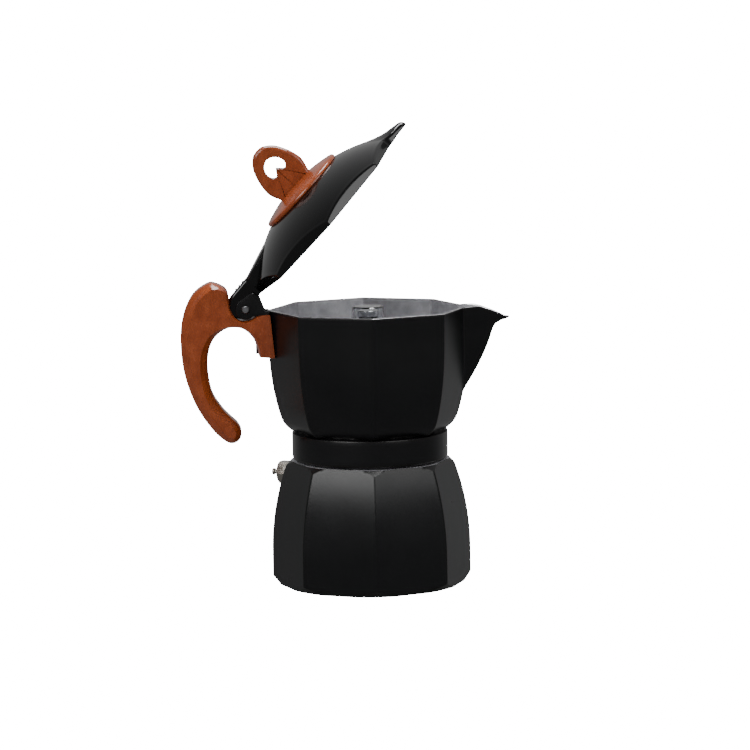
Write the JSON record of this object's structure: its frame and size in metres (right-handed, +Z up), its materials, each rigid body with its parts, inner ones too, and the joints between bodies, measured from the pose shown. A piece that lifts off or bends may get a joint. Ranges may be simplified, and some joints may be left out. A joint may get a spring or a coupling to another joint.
{
  "type": "stovetop moka pot",
  "caption": "Eight-sided stovetop moka pot with a screwed-on pouring chamber, hinged domed lid with a bow knob, curved handle, funnel, seal, filter plate and safety valve.",
  "frame": {"origin": "centre of the boiler's flat underside, which stands on the hob", "axes": "+X towards the spout, -X towards the handle and hinge, +Z up through the column and the thread's axis"},
  "size_m": [0.1431, 0.0896, 0.2018],
  "materials": {
    "black_coat": "satin",
    "nickel": "satin",
    "washer_fibre": "matt",
    "steel": "satin",
    "dark_steel": "satin",
    "bare_aluminium": "satin",
    "ivory_rubber": "matt",
    "black_plastic": "matt",
    "black_rubber": "matt",
    "bright_chrome": "polished",
    "clear_plastic": "gloss",
    "brown_plastic": "satin"
  },
  "bodies": {
    "boiler": {"boiler": "black_coat", "valve_body": "nickel", "valve_washer": "washer_fibre", "valve_spring": "steel"},
    "valve_pin": {"valve_pin": "nickel", "valve_plug": "steel"},
    "funnel": {"funnel": "bare_aluminium", "funnel_sieve": "bare_aluminium"},
    "gasket": {"gasket": "ivory_rubber"},
    "filter_plate": {"filter_plate": "bare_aluminium"},
    "chamber": {"upper_chamber": "black_coat", "column_nozzle": "black_plastic", "weight_seal": "black_rubber", "clear_cap": "clear_plastic", "hinge_pin": "steel", "handle": "brown_plastic", "handle_screw": "dark_steel"},
    "outlet_weight": {"outlet_weight": "bright_chrome"},
    "lid": {"lid": "black_coat", "knob": "brown_plastic", "knob_screw": "steel", "knob_washer": "steel"}
  },
  "joints": [
    {"name": "lift_off", "type": "slide", "parent": "boiler", "child": "gasket", "axis": [0, 0, 1], "range_m": [0, 0.16]},
    {"name": "thread_rise", "type": "slide", "parent": "gasket", "child": "filter_plate", "axis": [0, 0, 1], "range_m": [0, 0.008]},
    {"name": "unscrew", "type": "hinge", "parent": "filter_plate", "child": "chamber", "pos_m": [0, 0, 0.06], "axis": [0, 0, 1], "range_deg": [0, 960.1]},
    {"name": "lid_hinge", "type": "hinge", "parent": "chamber", "child": "lid", "pos_m": [-0.0536, 0, 0.1219], "axis": [0, -1, 0], "range_deg": [-48, 30]},
    {"name": "weight_lift", "type": "slide", "parent": "chamber", "child": "outlet_weight", "axis": [0, 0, 1], "range_m": [0, 0.001]},
    {"name": "funnel_lift", "type": "slide", "parent": "boiler", "child": "funnel", "axis": [0, 0, 1], "range_m": [0, 0.0721]},
    {"name": "valve_pull", "type": "slide", "parent": "boiler", "child": "valve_pin", "axis": [-0.9239, 0.3827, 0], "range_m": [0, 0.002], "stiffness_N_per_m": 150, "springref_m": -0.002, "deforming": ["valve_spring"]}
  ],
  "couplings": [
    {"joint": "unscrew", "follows": "thread_rise", "rad_per_m": 2094.4},
    {"joint": "funnel_lift", "follows": "lift_off", "ratio": 0.45}
  ]
}
